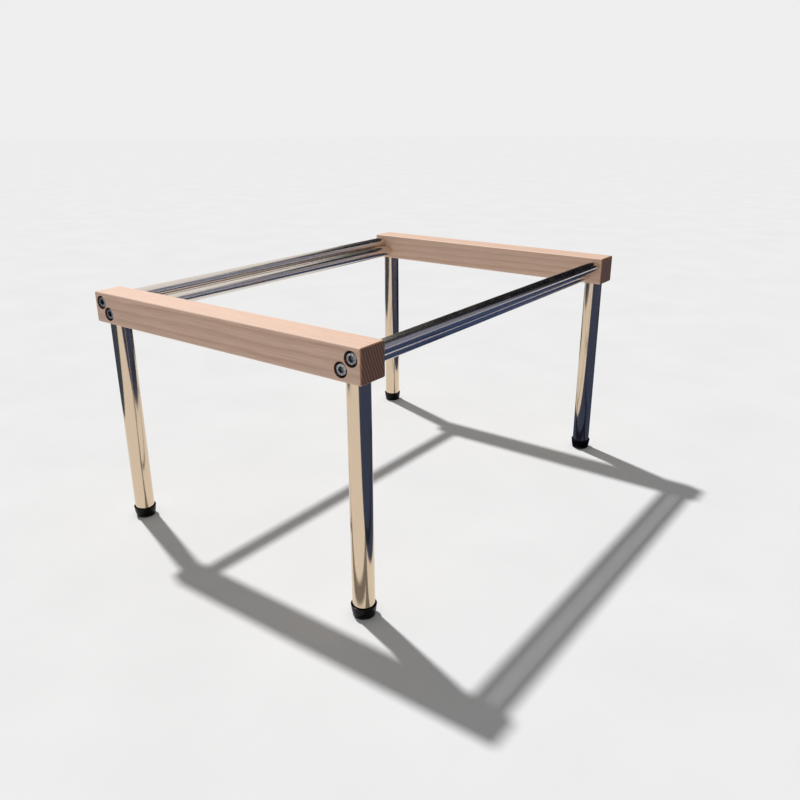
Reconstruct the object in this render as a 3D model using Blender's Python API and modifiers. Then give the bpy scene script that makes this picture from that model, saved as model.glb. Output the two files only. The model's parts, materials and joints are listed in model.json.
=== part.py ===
"""Low camping table frame.

Two wooden end beams stand on four legs, and two pairs of round rails join them. Cooking units or boards
hang between the rails. X runs along the beams, Y along the rails and Z is up, with the origin on the floor
under the middle of the table. The legs screw into the beams, and each foot screws in and out of its leg to
level it.
"""

import math

import bmesh
import bpy
from mathutils import Matrix

MM = 0.001

# Clearance between pieces that touch, or that pass through one another
GAP = 0.3 * MM

# Frame
TABLE_HEIGHT = 298 * MM
BEAM_LENGTH = 405 * MM
BEAM_WIDTH = 36.5 * MM
BEAM_HEIGHT = 36.5 * MM
BEAM_ROUNDING = 2 * MM
BAY_LENGTH = 502 * MM

# Rails, in pairs at each end of the beams, the upper one outside the lower one
RAIL_DIAMETER = 16 * MM
RAIL_WALL = 1.2 * MM
RAIL_SPACING = 1.7 * MM
RAIL_PLUG_LENGTH = 20 * MM

# Cap screws that hold the rails
SCREW_DIAMETER = 8 * MM
SCREW_LENGTH = 45 * MM
SCREW_HEAD_DIAMETER = 13 * MM
SCREW_HEAD_HEIGHT = 8 * MM
SCREW_HEAD_RECESS = 0.7 * MM
HEX_KEY_WIDTH = 6 * MM
HEX_KEY_DEPTH = 4 * MM
WASHER_DIAMETER = 15 * MM
WASHER_THICKNESS = 1.6 * MM

# Legs, which screw into sockets that the lower rail screws lock into the beams
LEG_DIAMETER = 24 * MM
LEG_WALL = 1.2 * MM
LEG_PLUG_LENGTH = 14 * MM
LEG_STUD_DIAMETER = 8 * MM
SOCKET_DIAMETER = 13 * MM
SOCKET_WEB = 1.15 * MM
SOCKET_TOP_LAND = 2 * MM

# Levelling feet
FOOT_HEIGHT = 13.4 * MM
FOOT_BASE_DIAMETER = 24 * MM
FOOT_ROUNDING = 1 * MM
FOOT_SOLE = 2.2 * MM
FOOT_WEB = 2.4 * MM
SKIRT_WALL = 0.8 * MM
MOUTH_CLEARANCE = 1 * MM
FOOT_NUT_LENGTH = 12 * MM
FOOT_STUD_DIAMETER = 8 * MM
FOOT_STUD_LENGTH = 24 * MM
FOOT_DISC_DIAMETER = 15 * MM
FOOT_DISC_THICKNESS = 2.5 * MM

# Broken edges on turned metal
CHAMFER = 0.8 * MM

# How far a cutter runs past the face that it enters
CUTTER_OVERRUN = 2 * MM

WIDE_SEGMENTS = 24
NARROW_SEGMENTS = 16
ROUNDING_SEGMENTS = 3
MERGE_DISTANCE = 0.00001
SHARP_ANGLE = math.radians(35)

# Heights, places and fits that follow from the sizes above
BEAM_UNDERSIDE = TABLE_HEIGHT - BEAM_HEIGHT
BEAM_MIDDLE = TABLE_HEIGHT - BEAM_HEIGHT / 2
CORNER_X = BEAM_LENGTH / 2 - BEAM_WIDTH / 2
CORNER_Y = BAY_LENGTH / 2 + BEAM_WIDTH / 2
OUTER_FACE = BAY_LENGTH / 2 + BEAM_WIDTH
RAIL_LENGTH = BAY_LENGTH - 2 * GAP
RAIL_OFFSET = (RAIL_DIAMETER + RAIL_SPACING) / 2 / math.sqrt(2)
SCREW_HOLE_RADIUS = SCREW_DIAMETER / 2 + GAP
WASHER_TOP = -SCREW_HEAD_RECESS - SCREW_HEAD_HEIGHT - GAP
COUNTERBORE_RADIUS = max(WASHER_DIAMETER, SCREW_HEAD_DIAMETER) / 2 + GAP
COUNTERBORE_FLOOR = WASHER_TOP - WASHER_THICKNESS - GAP
LOWER_SCREW_HEIGHT = BEAM_HEIGHT / 2 - RAIL_OFFSET
LEG_STUD_HOLE_RADIUS = LEG_STUD_DIAMETER / 2 + GAP
LEG_STUD_HOLE_DEPTH = LOWER_SCREW_HEIGHT - SCREW_HOLE_RADIUS - SOCKET_WEB
SOCKET_HEIGHT = LOWER_SCREW_HEIGHT + SCREW_HOLE_RADIUS + SOCKET_TOP_LAND
LEG_PLUG_RADIUS = LEG_DIAMETER / 2 - LEG_WALL - GAP
FOOT_STUD_HOLE_RADIUS = FOOT_STUD_DIAMETER / 2 + GAP
FOOT_STUD_BOTTOM = FOOT_SOLE + GAP
DISC_POCKET_TOP = FOOT_STUD_BOTTOM + FOOT_DISC_THICKNESS + GAP
FOOT_FLOOR = DISC_POCKET_TOP + FOOT_WEB
LEG_BOTTOM = FOOT_FLOOR + GAP
LEG_END = LEG_BOTTOM - BEAM_UNDERSIDE

SIDES = {"left": -1, "right": 1}
ENDS = {"front": -1, "rear": 1}
LEVELS = {"upper": 1, "lower": -1}


def clear_scene():
    """Remove every object and collection, so that the script can run again in an open file."""
    for item in list(bpy.data.objects):
        bpy.data.objects.remove(item, do_unlink=True)
    for group in list(bpy.data.collections):
        bpy.data.collections.remove(group)


def new_collection(name):
    group = bpy.data.collections.new(name)
    bpy.context.scene.collection.children.link(group)
    return group


def new_material(name, colour, roughness, metallic):
    """Principled material of one linear colour."""
    made = bpy.data.materials.new(name)
    made.use_nodes = True
    shader = made.node_tree.nodes["Principled BSDF"]
    shader.inputs["Base Color"].default_value = (*colour, 1)
    shader.inputs["Roughness"].default_value = roughness
    shader.inputs["Metallic"].default_value = metallic
    made.diffuse_color = (*colour, 1)
    return made


def baked(source):
    """Mesh of an object with its modifiers applied. The object itself is removed."""
    graph = bpy.context.evaluated_depsgraph_get()
    mesh = bpy.data.meshes.new_from_object(source.evaluated_get(graph))
    bpy.data.objects.remove(source)
    mesh.shade_smooth()
    mesh.set_sharp_from_angle(angle=SHARP_ANGLE)
    return mesh


def turned(profile, segments, ring=False):
    """Mesh of a profile of (radius, height) points turned about Z.

    The points run down the outer side. A ring's last point joins its first.
    """
    last = len(profile) - 1
    edges = [(point, point + 1) for point in range(last)]
    if ring:
        edges.append((last, 0))
    outline = bpy.data.meshes.new("profile")
    outline.from_pydata([(radius, 0, height) for radius, height in profile], edges, [])
    source = bpy.data.objects.new("profile", outline)
    bpy.context.scene.collection.objects.link(source)
    screw = source.modifiers.new("Turn", "SCREW")
    screw.steps = segments
    screw.render_steps = segments
    screw.use_merge_vertices = True
    screw.merge_threshold = MERGE_DISTANCE
    return baked(source)


def tube_mesh(outer_radius, inner_radius, top, bottom, segments):
    """Straight tube, plug or washer between two heights."""
    corners = [(outer_radius, top), (outer_radius, bottom), (inner_radius, bottom), (inner_radius, top)]
    return turned(corners, segments, ring=True)


def place(name, mesh, material, location=(0, 0, 0), turn=0, parent=None):
    """Add a part at a place, turned about X, under an empty if it has one."""
    if not mesh.materials:
        mesh.materials.append(material)
    part = bpy.data.objects.new(name, mesh)
    part.location = location
    part.rotation_euler.x = turn
    part.parent = parent
    PARTS.objects.link(part)
    return part


def place_axis(name, location, parent=None):
    """Add an empty on the axis that a leg or a foot turns about."""
    axis = bpy.data.objects.new(name, None)
    axis.location = location
    axis.empty_display_size = LEG_DIAMETER
    axis.parent = parent
    PARTS.objects.link(axis)
    return axis


def place_cutter(name, mesh, location=(0, 0, 0), turn=0):
    """Add a cutter, which is drawn as wires and left out of renders."""
    cutter = bpy.data.objects.new(name, mesh)
    cutter.location = location
    cutter.rotation_euler.x = turn
    cutter.display_type = "WIRE"
    cutter.hide_render = True
    CUTTERS.objects.link(cutter)
    return cutter


def cut(part, cutter):
    boolean = part.modifiers.new(cutter.name, "BOOLEAN")
    boolean.operation = "DIFFERENCE"
    boolean.object = cutter


def outward_turn(end):
    """Turn about X that points a part's own +Z out of the front or rear beam."""
    return -end * math.pi / 2


def rail_place(side, level):
    """X and Z of a rail's axis."""
    return side * (CORNER_X + level * RAIL_OFFSET), BEAM_MIDDLE + level * RAIL_OFFSET


def screw_hole_mesh():
    """Cutter for a counterbore and its hole through the beam, from the outer face at height 0 inwards."""
    far_end = -BEAM_WIDTH - CUTTER_OVERRUN
    return turned(
        [
            (0, CUTTER_OVERRUN),
            (COUNTERBORE_RADIUS, CUTTER_OVERRUN),
            (COUNTERBORE_RADIUS, COUNTERBORE_FLOOR),
            (SCREW_HOLE_RADIUS, COUNTERBORE_FLOOR),
            (SCREW_HOLE_RADIUS, far_end),
            (0, far_end),
        ],
        WIDE_SEGMENTS,
    )


def socket_bore_mesh():
    """Cutter for the blind bore that takes a leg's socket, from the beam's underside at height 0."""
    radius = SOCKET_DIAMETER / 2 + GAP
    top = SOCKET_HEIGHT + GAP
    return turned([(0, top), (radius, top), (radius, -CUTTER_OVERRUN), (0, -CUTTER_OVERRUN)], NARROW_SEGMENTS)


def hex_key_mesh():
    """Cutter for a screw's hexagonal pocket, with its middle at height 0."""
    radius = HEX_KEY_WIDTH / math.sqrt(3)
    key = bmesh.new()
    bmesh.ops.create_cone(
        key, cap_ends=True, segments=6, radius1=radius, radius2=radius, depth=2 * HEX_KEY_DEPTH
    )
    mesh = bpy.data.meshes.new("hex_key")
    key.to_mesh(mesh)
    key.free()
    return mesh


def screw_mesh():
    """Cap screw. Its head is just below the beam's outer face, at height 0, and its shank points inwards."""
    head_top = -SCREW_HEAD_RECESS
    head_bottom = head_top - SCREW_HEAD_HEIGHT
    tip = head_bottom - SCREW_LENGTH
    head_radius = SCREW_HEAD_DIAMETER / 2
    shank_radius = SCREW_DIAMETER / 2
    solid = turned(
        [
            (0, head_top),
            (head_radius - CHAMFER, head_top),
            (head_radius, head_top - CHAMFER),
            (head_radius, head_bottom),
            (shank_radius, head_bottom),
            (shank_radius, tip + CHAMFER),
            (shank_radius - CHAMFER, tip),
            (0, tip),
        ],
        NARROW_SEGMENTS,
    )
    screw = bpy.data.objects.new("screw", solid)
    bpy.context.scene.collection.objects.link(screw)
    key = place_cutter("hex_key", hex_key_mesh(), (0, 0, head_top))
    cut(screw, key)
    mesh = baked(screw)
    bpy.data.objects.remove(key)
    return mesh


def socket_mesh():
    """Leg socket from the beam's underside, at height 0, upwards, with a blind hole for the leg's stud."""
    radius = SOCKET_DIAMETER / 2
    return turned(
        [
            (0, SOCKET_HEIGHT),
            (radius - CHAMFER, SOCKET_HEIGHT),
            (radius, SOCKET_HEIGHT - CHAMFER),
            (radius, 0),
            (LEG_STUD_HOLE_RADIUS, 0),
            (LEG_STUD_HOLE_RADIUS, LEG_STUD_HOLE_DEPTH),
            (0, LEG_STUD_HOLE_DEPTH),
        ],
        NARROW_SEGMENTS,
    )


def leg_stud_mesh():
    """Plain bar for the leg's stud, from the leg's plug to just short of the end of the socket's hole."""
    radius = LEG_STUD_DIAMETER / 2
    top = LEG_STUD_HOLE_DEPTH - GAP
    bottom = -GAP - LEG_PLUG_LENGTH
    return turned(
        [(0, top), (radius - CHAMFER, top), (radius, top - CHAMFER), (radius, bottom), (0, bottom)],
        NARROW_SEGMENTS,
    )


def foot_stud_mesh():
    """Levelling stud on the disc that sits inside the foot, as heights above the floor."""
    radius = FOOT_STUD_DIAMETER / 2
    disc_radius = FOOT_DISC_DIAMETER / 2
    disc_top = FOOT_STUD_BOTTOM + FOOT_DISC_THICKNESS
    tip = FOOT_STUD_BOTTOM + FOOT_STUD_LENGTH
    return turned(
        [
            (0, tip),
            (radius - CHAMFER, tip),
            (radius, tip - CHAMFER),
            (radius, disc_top),
            (disc_radius, disc_top),
            (disc_radius, FOOT_STUD_BOTTOM),
            (0, FOOT_STUD_BOTTOM),
        ],
        NARROW_SEGMENTS,
    )


def foot_cup_mesh():
    """Rubber cup with a pocket for the stud's disc, and a flared skirt that stands clear of the leg."""
    skirt_root = LEG_DIAMETER / 2 + GAP
    mouth = LEG_DIAMETER / 2 + MOUTH_CLEARANCE
    pocket = FOOT_DISC_DIAMETER / 2 + GAP
    rounding_centre = FOOT_BASE_DIAMETER / 2 - FOOT_ROUNDING
    angles = [step / ROUNDING_SEGMENTS * math.pi / 2 for step in range(ROUNDING_SEGMENTS + 1)]
    rounding = [
        (rounding_centre + FOOT_ROUNDING * math.cos(angle), FOOT_ROUNDING * (1 - math.sin(angle)))
        for angle in angles
    ]
    return turned(
        [
            (0, FOOT_SOLE),
            (pocket, FOOT_SOLE),
            (pocket, DISC_POCKET_TOP),
            (FOOT_STUD_HOLE_RADIUS, DISC_POCKET_TOP),
            (FOOT_STUD_HOLE_RADIUS, FOOT_FLOOR),
            (skirt_root, FOOT_FLOOR),
            (skirt_root, LEG_BOTTOM),
            (mouth, FOOT_HEIGHT),
            (mouth + SKIRT_WALL, FOOT_HEIGHT),
            (skirt_root + SKIRT_WALL, FOOT_FLOOR),
            *rounding,
            (0, 0),
        ],
        WIDE_SEGMENTS,
    )


def build_beam(end_name, end):
    """Square wooden beam with rounded edges."""
    bpy.ops.mesh.primitive_cube_add(size=1, location=(0, end * CORNER_Y, BEAM_MIDDLE))
    beam = bpy.context.active_object
    beam.name = f"beam_{end_name}"
    beam.users_collection[0].objects.unlink(beam)
    PARTS.objects.link(beam)
    beam.data.transform(Matrix.Diagonal((BEAM_LENGTH, BEAM_WIDTH, BEAM_HEIGHT, 1)))
    beam.data.materials.append(WOOD)
    rounding = beam.modifiers.new("Rounding", "BEVEL")
    rounding.width = BEAM_ROUNDING
    rounding.segments = ROUNDING_SEGMENTS
    return beam


def build_rail(side_name, side, level_name, level):
    """One rail, with a threaded plug in each end."""
    x, z = rail_place(side, level)
    place(f"rail_{side_name}_{level_name}", RAIL, STEEL, (x, 0, z), math.pi / 2)
    for end_name, end in ENDS.items():
        name = f"rail_plug_{end_name}_{side_name}_{level_name}"
        place(name, RAIL_PLUG, PLATED, (x, end * RAIL_LENGTH / 2, z), outward_turn(end))


def build_rail_screws(beam, socket, corner, side, end):
    """Holes for both rails' screws, with the screws and washers. The lower hole notches the leg's socket."""
    turn = outward_turn(end)
    for level_name, level in LEVELS.items():
        x, z = rail_place(side, level)
        face_point = (x, end * OUTER_FACE, z)
        hole = place_cutter(f"screw_hole_{corner}_{level_name}", SCREW_HOLE, face_point, turn)
        cut(beam, hole)
        if level_name == "lower":
            cut(socket, hole)
        place(f"rail_screw_{corner}_{level_name}", SCREW, PLATED, face_point, turn)
        place(f"screw_washer_{corner}_{level_name}", WASHER, PLATED, face_point, turn)


def build_leg(corner, seat):
    """Leg and foot. The leg's empty is on its axis at the beam's underside, and the foot's on the floor."""
    leg = place_axis(f"leg_axis_{corner}", seat)
    place(f"leg_tube_{corner}", LEG_TUBE, STEEL, parent=leg)
    place(f"leg_plug_{corner}", LEG_PLUG, PLATED, parent=leg)
    place(f"leg_stud_{corner}", LEG_STUD, PLATED, parent=leg)
    place(f"foot_nut_{corner}", FOOT_NUT, PLATED, parent=leg)

    foot = place_axis(f"foot_axis_{corner}", (0, 0, -BEAM_UNDERSIDE), leg)
    place(f"foot_stud_{corner}", FOOT_STUD, PLATED, parent=foot)
    place(f"foot_cup_{corner}", FOOT_CUP, RUBBER, parent=foot)


clear_scene()
PARTS = new_collection("camping_table")
CUTTERS = new_collection("camping_table_cutters")

WOOD = new_material("planed_softwood", (0.62, 0.42, 0.27), 0.55, 0)
STEEL = new_material("polished_stainless", (0.6, 0.58, 0.55), 0.12, 1)
PLATED = new_material("plated_steel", (0.55, 0.55, 0.55), 0.35, 1)
RUBBER = new_material("black_rubber", (0.012, 0.012, 0.013), 0.5, 0)

# Meshes that the copies share
RAIL_RADIUS = RAIL_DIAMETER / 2
LEG_RADIUS = LEG_DIAMETER / 2
RAIL = tube_mesh(RAIL_RADIUS, RAIL_RADIUS - RAIL_WALL, RAIL_LENGTH / 2, -RAIL_LENGTH / 2, WIDE_SEGMENTS)
RAIL_PLUG = tube_mesh(RAIL_RADIUS - RAIL_WALL - GAP, SCREW_HOLE_RADIUS, 0, -RAIL_PLUG_LENGTH, NARROW_SEGMENTS)
SCREW_HOLE = screw_hole_mesh()
SCREW = screw_mesh()
WASHER = tube_mesh(
    WASHER_DIAMETER / 2, SCREW_HOLE_RADIUS, WASHER_TOP, WASHER_TOP - WASHER_THICKNESS, NARROW_SEGMENTS
)
SOCKET_BORE = socket_bore_mesh()
SOCKET = socket_mesh()
LEG_TUBE = tube_mesh(LEG_RADIUS, LEG_RADIUS - LEG_WALL, -GAP, LEG_END, WIDE_SEGMENTS)
LEG_PLUG = tube_mesh(LEG_PLUG_RADIUS, LEG_STUD_HOLE_RADIUS, -GAP, -GAP - LEG_PLUG_LENGTH, NARROW_SEGMENTS)
LEG_STUD = leg_stud_mesh()
FOOT_NUT = tube_mesh(
    LEG_PLUG_RADIUS, FOOT_STUD_HOLE_RADIUS, LEG_END + FOOT_NUT_LENGTH, LEG_END, NARROW_SEGMENTS
)
FOOT_STUD = foot_stud_mesh()
FOOT_CUP = foot_cup_mesh()

for end_label, end_sign in ENDS.items():
    end_beam = build_beam(end_label, end_sign)
    for side_label, side_sign in SIDES.items():
        corner_label = f"{end_label}_{side_label}"
        leg_seat = (side_sign * CORNER_X, end_sign * CORNER_Y, BEAM_UNDERSIDE)
        cut(end_beam, place_cutter(f"socket_bore_{corner_label}", SOCKET_BORE, leg_seat))
        leg_socket = place(f"leg_socket_{corner_label}", SOCKET, PLATED, leg_seat)
        build_rail_screws(end_beam, leg_socket, corner_label, side_sign, end_sign)
        build_leg(corner_label, leg_seat)

for side_label, side_sign in SIDES.items():
    for level_label, level_sign in LEVELS.items():
        build_rail(side_label, side_sign, level_label, level_sign)
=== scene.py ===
"""Looks of a low camping table frame: two wooden end beams, four round rails, four screwed legs.

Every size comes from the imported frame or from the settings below. X runs along the beams, Y along the
rails and Z is up. Lengths are in metres.
"""

import json
import math

import bmesh
import bpy
from mathutils import Matrix, Vector

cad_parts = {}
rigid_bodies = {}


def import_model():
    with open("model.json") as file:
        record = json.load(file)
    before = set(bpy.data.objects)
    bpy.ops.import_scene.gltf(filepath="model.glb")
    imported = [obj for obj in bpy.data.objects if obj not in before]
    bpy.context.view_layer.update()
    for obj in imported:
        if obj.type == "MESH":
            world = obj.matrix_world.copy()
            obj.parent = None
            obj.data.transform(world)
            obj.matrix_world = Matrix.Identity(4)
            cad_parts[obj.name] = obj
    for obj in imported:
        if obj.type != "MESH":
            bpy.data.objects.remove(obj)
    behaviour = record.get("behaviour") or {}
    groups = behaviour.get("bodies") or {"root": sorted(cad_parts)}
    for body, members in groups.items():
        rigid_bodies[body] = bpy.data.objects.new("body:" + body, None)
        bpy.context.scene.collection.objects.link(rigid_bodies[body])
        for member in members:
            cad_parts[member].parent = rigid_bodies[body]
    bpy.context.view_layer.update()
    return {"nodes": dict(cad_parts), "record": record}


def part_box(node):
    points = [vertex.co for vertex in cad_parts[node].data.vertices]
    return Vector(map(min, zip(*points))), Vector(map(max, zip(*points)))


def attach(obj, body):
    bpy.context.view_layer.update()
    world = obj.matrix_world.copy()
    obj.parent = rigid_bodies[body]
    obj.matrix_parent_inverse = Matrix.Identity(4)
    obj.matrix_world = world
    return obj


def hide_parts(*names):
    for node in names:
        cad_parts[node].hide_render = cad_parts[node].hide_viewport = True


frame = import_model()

bl_info = {
    "name": "Camping table frame",
    "version": (1, 0, 0),
    "blender": (4, 5, 0),
    "location": "View3D > Sidebar > Camping table",
    "description": "Models the beams, rails, screws, legs and feet of a low camping table on its frame",
    "category": "Object",
}

MM = 0.001
# Play between pieces that touch in reality
GAP = 0.3 * MM
ENDS = {"front": -1, "rear": 1}
CORNERS = ("front_left", "front_right", "rear_left", "rear_right")
LEVELS = ("upper", "lower")
BODY_OF = {
    node: body for body, nodes in frame["record"]["behaviour"]["bodies"].items() for node in nodes
}

# Steps round a turned piece, a narrow one and a thread, and knurls round a screw's head
ROUND = 72
SMALL_ROUND = 48
THREAD_ROUND = 24
KNURLS = 60

# Faces that meet at less than this angle are smoothed into each other
SMOOTH_ANGLE = math.radians(30)
# Points nearer to each other than this are merged
MERGE = 0.002 * MM
# Depth of a thread, as a share of its pitch
THREAD_DEPTH = 0.6
# Radius at the bottom of a knurl, as a share of the head's
KNURL_SHARE = 0.97
# Shift of a material's marks along the axis from one copy to the next, in metres, so that they differ
COPY_SHIFT = 0.731

# Roughness of the polished rails and legs, which blurs what they reflect
RAIL_BLUR = 0.17
LEG_BLUR = 0.11
# Inputs 1 and 2 of a Map Range node that reads a noise, which nearly always lies between these
NOISE_RANGE = {1: 0.3, 2: 0.7}
# The same for the mixed noise of a polished tube
POLISH_RANGE = {1: 0.45, 2: 1.05}

FLOOR_RADIUS = 14
# Direction of the key lamp, seen from the table: the upper left, a little behind
KEY_DIRECTION = Vector((-0.523, 0.175, 0.834))
KEY_DISTANCE = 3
# Width of the key lamp in degrees, which softens the edges of its shadows
KEY_WIDTH = 2.5
# Place of the camera in metres, and its turn about X, Y and Z in degrees
CAMERA_PLACE = (0.62997, -0.80452, 0.49900)
CAMERA_TURN = (69.5514, 0.2393, 36.5030)
SENSOR_WIDTH = 36


def linear(code):
    """Linear colour from an sRGB hex value such as DFC2A6."""
    channels = [int(code[start:start + 2], 16) / 255 for start in (0, 2, 4)]
    return tuple(c / 12.92 if c <= 0.04045 else ((c + 0.055) / 1.055) ** 2.4 for c in channels)


def grey(value):
    """Linear grey of one value."""
    return (value, value, value)


def rgba(colour):
    """Colour with full opacity, as a colour socket takes it."""
    return (*colour, 1.0)


def length_setting(name, description, default, high):
    """Property for a length in metres, with its largest value."""
    return bpy.props.FloatProperty(
        name=name, description=description, default=default, min=0, max=high, subtype="DISTANCE",
        unit="LENGTH", precision=5,
    )


def colour_setting(name, description, code):
    """Property for a colour, whose default is an sRGB hex value."""
    return bpy.props.FloatVectorProperty(
        name=name, description=description, default=linear(code), size=3, min=0, max=1, subtype="COLOR"
    )


class TimberSettings(bpy.types.PropertyGroup):
    rounding: length_setting("Edge rounding", "Radius of the beams' rounded edges", 2 * MM, 0.01)
    ring_spacing: length_setting("Ring spacing", "Width of one year's growth", 3.6 * MM, 0.02)
    ring_slant: bpy.props.FloatProperty(
        name="Ring slant", description="How far the rings lean from upright at a beam's end",
        default=math.radians(20), min=0, max=math.radians(90), subtype="ANGLE", unit="ROTATION",
    )
    early: colour_setting("Early wood", "Pale wood between the rings", "DDBBA5")
    late: colour_setting("Late wood", "Darker line that ends each ring", "C59B80")
    # Painted highlight: the rim is end grain made lighter, where the rounded edges next to the cut ends
    # catch light
    end_rim: colour_setting("End rim", "Rounded edges round the cut ends", "9C6D4C")
    # The end grain colours are the wood's own darker brown, darkened further by painted shade
    end_early: colour_setting("End grain", "Cut ends between the rings", "7A5442")
    end_late: colour_setting("End grain rings", "Rings on the cut ends", "2A1812")


class SteelSettings(bpy.types.PropertyGroup):
    rail_wall: length_setting("Rail wall", "Wall of the rail tubes", 1.2 * MM, 0.005)
    leg_wall: length_setting("Leg wall", "Wall of the leg tubes", 1.2 * MM, 0.005)
    # Painted reflection: the legs' colour is the steel's own slight warmth, with a warm floor's reflection
    # painted in
    legs: colour_setting("Legs", "Colour of the polished leg tubes", "DFC9AE")
    rails: colour_setting("Rails", "Colour of the polished rail tubes", "E3DAD0")
    plated: colour_setting("Plated steel", "Colour of the screws, studs and plugs", "DDDCDA")


class ScrewSettings(bpy.types.PropertyGroup):
    shank: length_setting("Thread diameter", "Diameter of the screws and studs", 8 * MM, 0.02)
    pitch: length_setting("Thread pitch", "Distance from one thread to the next", 1.25 * MM, 0.005)
    chamfer: length_setting("Head chamfer", "Broken edge round a screw's head", 1 * MM, 0.003)
    key_width: length_setting("Hex key", "Width of the hexagonal socket across its flats", 6 * MM, 0.02)
    key_depth: length_setting("Hex depth", "Depth of the hexagonal socket", 4 * MM, 0.02)
    head_height: length_setting("Head height", "Height of a screw's head", 8 * MM, 0.02)


class FootSettings(bpy.types.PropertyGroup):
    skirt: length_setting("Skirt wall", "Thickness of the rubber skirt", 0.8 * MM, 0.005)
    base_rounding: length_setting("Base rounding", "Radius round the sole", 1.2 * MM, 0.005)
    sole: length_setting("Sole", "Rubber under the stud's disc", 2.2 * MM, 0.01)
    disc: length_setting("Disc diameter", "Disc at the foot of the levelling stud", 15 * MM, 0.03)
    disc_height: length_setting("Disc thickness", "Thickness of that disc", 2.5 * MM, 0.01)
    colour: colour_setting("Rubber", "Colour of the feet", "0A090A")


class StageSettings(bpy.types.PropertyGroup):
    floor: colour_setting("Floor", "Colour of the floor", "D9D9D9")
    key_power: bpy.props.FloatProperty(
        name="Key lamp", description="Strength of the lamp at the upper left", default=3.4, min=0, max=20,
    )
    sky: bpy.props.FloatProperty(
        name="Surroundings", description="Strength of the light from all round", default=0.32, min=0, max=2,
    )
    backdrop: bpy.props.FloatProperty(
        name="Backdrop", description="Brightness of what is seen round the floor", default=0.86,
        min=0, max=1,
    )
    lens: bpy.props.FloatProperty(
        name="Lens", description="Focal length on a 36 mm sensor", default=35.27, min=10, max=200,
        subtype="DISTANCE_CAMERA", unit="CAMERA",
    )


class CampingTableSettings(bpy.types.PropertyGroup):
    timber: bpy.props.PointerProperty(type=TimberSettings)
    steel: bpy.props.PointerProperty(type=SteelSettings)
    screws: bpy.props.PointerProperty(type=ScrewSettings)
    feet: bpy.props.PointerProperty(type=FootSettings)
    stage: bpy.props.PointerProperty(type=StageSettings)


def select_only(piece=None):
    """Deselect everything, then select one piece, if one is given."""
    if bpy.context.object and bpy.context.object.mode != "OBJECT":
        bpy.ops.object.mode_set(mode="OBJECT")
    for other in bpy.context.view_layer.objects:
        other.select_set(False)
    if piece:
        piece.select_set(True)
        bpy.context.view_layer.objects.active = piece


def pick(piece, kind, test):
    """In edit mode, select the vertices or the edges whose points all pass a test."""
    bpy.ops.object.mode_set(mode="EDIT")
    bpy.ops.mesh.select_mode(type=kind)
    bpy.ops.mesh.select_all(action="DESELECT")
    work = bmesh.from_edit_mesh(piece.data)
    for item in work.verts if kind == "VERT" else work.edges:
        points = [item] if kind == "VERT" else item.verts
        if all(test(point.co) for point in points):
            item.select = True
    work.select_flush_mode()
    bmesh.update_edit_mesh(piece.data)


def apply_modifier(piece, kind, **settings):
    """Add a modifier with its settings and apply it."""
    select_only(piece)
    modifier = piece.modifiers.new(kind.title(), kind)
    for name, value in settings.items():
        setattr(modifier, name, value)
    bpy.ops.object.modifier_apply(modifier=modifier.name)


def cut(piece, cutter):
    """Cut one piece's shape out of another, and remove the cutter."""
    apply_modifier(
        piece, "BOOLEAN", operation="DIFFERENCE", solver="EXACT", object=cutter, material_mode="TRANSFER"
    )
    bpy.data.objects.remove(cutter, do_unlink=True)


def smooth(piece):
    """Smooth the round faces, and keep the flat ones flat up to their rounded edges."""
    select_only(piece)
    bpy.ops.object.shade_smooth_by_angle(angle=SMOOTH_ANGLE)
    apply_modifier(piece, "WEIGHTED_NORMAL", keep_sharp=True, weight=100)


def turned(name, profile, steps=ROUND, ring=False):
    """Draw a profile of (radius, height) points and spin it about Z.

    The profile of a ring is closed: its last point joins its first.
    """
    select_only()
    radius, height = profile[0]
    bpy.ops.mesh.primitive_plane_add(size=MM, location=(radius, 0, height))
    piece = bpy.context.object
    piece.name = piece.data.name = name
    bpy.ops.object.transform_apply(location=True, rotation=True, scale=True)
    bpy.ops.object.mode_set(mode="EDIT")
    bpy.ops.mesh.select_mode(type="VERT")
    bpy.ops.mesh.select_all(action="SELECT")
    bpy.ops.mesh.merge(type="CENTER")
    path = profile + profile[:1] if ring else profile
    for (radius, height), (next_radius, next_height) in zip(path, path[1:]):
        step = (next_radius - radius, 0, next_height - height)
        bpy.ops.mesh.extrude_vertices_move(TRANSFORM_OT_translate={"value": step})
    bpy.ops.mesh.select_all(action="SELECT")
    bpy.ops.mesh.spin(steps=steps, angle=2 * math.pi, center=(0, 0, 0), axis=(0, 0, 1))
    bpy.ops.mesh.select_all(action="SELECT")
    bpy.ops.mesh.remove_doubles(threshold=MERGE)
    bpy.ops.mesh.normals_make_consistent(inside=False)
    bpy.ops.object.mode_set(mode="OBJECT")
    return piece


def tube_profile(outer, inner, top, bottom, edge):
    """Ring profile of a tube or washer whose outer edges are broken by a small amount."""
    return [
        (outer, top - edge), (outer, bottom + edge), (outer - edge, bottom),
        (inner, bottom), (inner, top), (outer - edge, top),
    ]


def arc(centre, radius, start, end, steps):
    """Points of (radius, height) on an arc, with its angles in degrees."""
    angles = [math.radians(start + (end - start) * step / steps) for step in range(steps + 1)]
    return [(centre[0] + radius * math.cos(a), centre[1] + radius * math.sin(a)) for a in angles]


def keep_lay(piece):
    """Remember each point's place on the piece as it was turned, for marks that follow its axis."""
    points = [tuple(vertex.co) for vertex in piece.data.vertices]
    lay = piece.data.attributes.new("lay", "FLOAT_VECTOR", "POINT")
    for place, point in zip(lay.data, points):
        place.vector = point


def finish_with(piece, finish):
    """Give a piece one material."""
    piece.data.materials.clear()
    piece.data.materials.append(finish)


def stand_in(piece, node):
    """Let a finished piece take the place of a CAD node, on the same body."""
    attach(piece, BODY_OF[node])
    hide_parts(node)


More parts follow.
